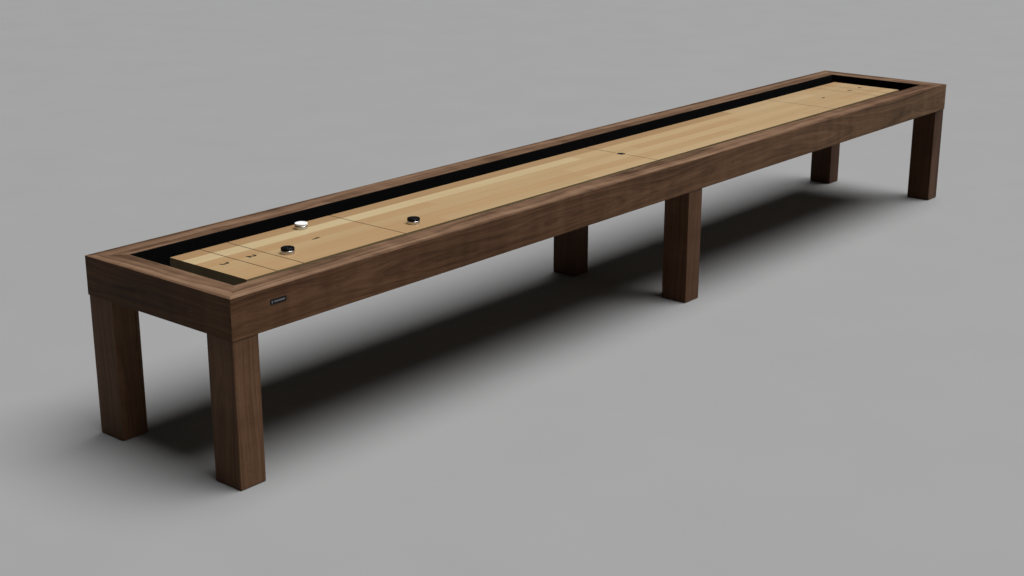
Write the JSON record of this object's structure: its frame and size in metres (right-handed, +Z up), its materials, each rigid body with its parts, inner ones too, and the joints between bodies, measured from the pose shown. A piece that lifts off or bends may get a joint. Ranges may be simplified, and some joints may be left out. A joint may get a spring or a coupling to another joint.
{
  "type": "shuffleboard table",
  "caption": "Long shuffleboard table: mitred walnut cabinet on square legs, carpeted gutter round a maple playfield, climate adjusters, levelling feet and playing weights.",
  "frame": {"origin": "on the floor, under the middle of the table's outside box", "axes": "+X along the table, from the left end to the right, +Y from the front side to the back, +Z up"},
  "size_m": [6.494, 0.96, 0.822],
  "materials": {
    "walnut": "open-grained walnut under a satin lacquer, grain along each board",
    "walnut_rail": "the same walnut, grain along each rail",
    "walnut_leg": "the same walnut, grain upright",
    "plywood": "raw birch plywood",
    "carpet": "short black felt-like carpet",
    "steel": "zinc-plated steel",
    "maple": "maple butcher block under a clear poured finish",
    "court_ink": "dark screened ink let into the finish",
    "plate_black": "black satin enamel",
    "plate_silver": "bare satin metal",
    "chrome": "polished chrome",
    "white_cap": "glossy white",
    "black_cap": "glossy black"
  },
  "bodies": {
    "table": {"apron_front": "walnut", "apron_back": "walnut", "apron_left": "walnut", "apron_right": "walnut", "rail_front": "walnut_rail", "rail_back": "walnut_rail", "rail_left": "walnut_rail", "rail_right": "walnut_rail", "leg_front_left": "walnut_leg", "leg_back_left": "walnut_leg", "leg_front_middle": "walnut_leg", "leg_back_middle": "walnut_leg", "leg_front_right": "walnut_leg", "leg_back_right": "walnut_leg", "gutter_wall_front": "plywood", "gutter_wall_back": "plywood", "gutter_wall_left": "plywood", "gutter_wall_right": "plywood", "floor_board_front": "plywood", "floor_board_back": "plywood", "floor_board_left": "plywood", "floor_board_right": "plywood", "cross_bearers": "plywood", "wall_carpet_front": "carpet", "wall_carpet_back": "carpet", "wall_carpet_left": "carpet", "wall_carpet_right": "carpet", "floor_carpet_front": "carpet", "floor_carpet_back": "carpet", "floor_carpet_left": "carpet", "floor_carpet_right": "carpet", "leg_plates": "steel", "leg_bolts": "steel", "foot_inserts": "steel", "adjuster_lugs": "steel", "adjuster_screws": "steel", "playfield": "maple", "court_lines": "court_ink", "court_numerals": "court_ink", "centre_mark": "court_ink", "name_plate": "plate_black", "name_plate_inlay": "plate_silver"},
    "levelling_foot_1": {"levelling_foot_1": "steel"},
    "levelling_foot_2": {"levelling_foot_2": "steel"},
    "levelling_foot_3": {"levelling_foot_3": "steel"},
    "levelling_foot_4": {"levelling_foot_4": "steel"},
    "levelling_foot_5": {"levelling_foot_5": "steel"},
    "levelling_foot_6": {"levelling_foot_6": "steel"},
    "adjuster_rod_1": {"adjuster_rod_1": "steel"},
    "adjuster_rod_2": {"adjuster_rod_2": "steel"},
    "adjuster_rod_3": {"adjuster_rod_3": "steel"},
    "adjuster_rod_4": {"adjuster_rod_4": "steel"},
    "adjuster_rod_5": {"adjuster_rod_5": "steel"},
    "white_puck": {"white_puck_weight": "chrome", "white_puck_cap": "white_cap"},
    "black_puck_1": {"black_puck_1_weight": "chrome", "black_puck_1_cap": "black_cap"},
    "black_puck_2": {"black_puck_2_weight": "chrome", "black_puck_2_cap": "black_cap"}
  },
  "joints": [
    {"name": "levelling_foot_1_screws_out", "type": "slide", "parent": "table", "child": "levelling_foot_1", "axis": [0, 0, -1], "range_m": [0, 0.02]},
    {"name": "levelling_foot_2_screws_out", "type": "slide", "parent": "table", "child": "levelling_foot_2", "axis": [0, 0, -1], "range_m": [0, 0.02]},
    {"name": "levelling_foot_3_screws_out", "type": "slide", "parent": "table", "child": "levelling_foot_3", "axis": [0, 0, -1], "range_m": [0, 0.02]},
    {"name": "levelling_foot_4_screws_out", "type": "slide", "parent": "table", "child": "levelling_foot_4", "axis": [0, 0, -1], "range_m": [0, 0.02]},
    {"name": "levelling_foot_5_screws_out", "type": "slide", "parent": "table", "child": "levelling_foot_5", "axis": [0, 0, -1], "range_m": [0, 0.02]},
    {"name": "levelling_foot_6_screws_out", "type": "slide", "parent": "table", "child": "levelling_foot_6", "axis": [0, 0, -1], "range_m": [0, 0.02]},
    {"name": "adjuster_rod_1_turns", "type": "hinge", "parent": "table", "child": "adjuster_rod_1", "pos_m": [-2.4, 0, 0.694], "axis": [0, 1, 0], "range_deg": [-360, 360]},
    {"name": "adjuster_rod_2_turns", "type": "hinge", "parent": "table", "child": "adjuster_rod_2", "pos_m": [-1.2, 0, 0.694], "axis": [0, 1, 0], "range_deg": [-360, 360]},
    {"name": "adjuster_rod_3_turns", "type": "hinge", "parent": "table", "child": "adjuster_rod_3", "pos_m": [0, 0, 0.694], "axis": [0, 1, 0], "range_deg": [-360, 360]},
    {"name": "adjuster_rod_4_turns", "type": "hinge", "parent": "table", "child": "adjuster_rod_4", "pos_m": [1.2, 0, 0.694], "axis": [0, 1, 0], "range_deg": [-360, 360]},
    {"name": "adjuster_rod_5_turns", "type": "hinge", "parent": "table", "child": "adjuster_rod_5", "pos_m": [2.4, 0, 0.694], "axis": [0, 1, 0], "range_deg": [-360, 360]},
    {"name": "white_puck_slides", "type": "slide", "parent": "table", "child": "white_puck", "axis": [1, 0, 0], "range_m": [-0.665, 5.219]},
    {"name": "black_puck_1_slides", "type": "slide", "parent": "table", "child": "black_puck_1", "axis": [1, 0, 0], "range_m": [-0.345, 5.539]},
    {"name": "black_puck_2_slides", "type": "slide", "parent": "table", "child": "black_puck_2", "axis": [1, 0, 0], "range_m": [-1.068, 4.816]}
  ]
}
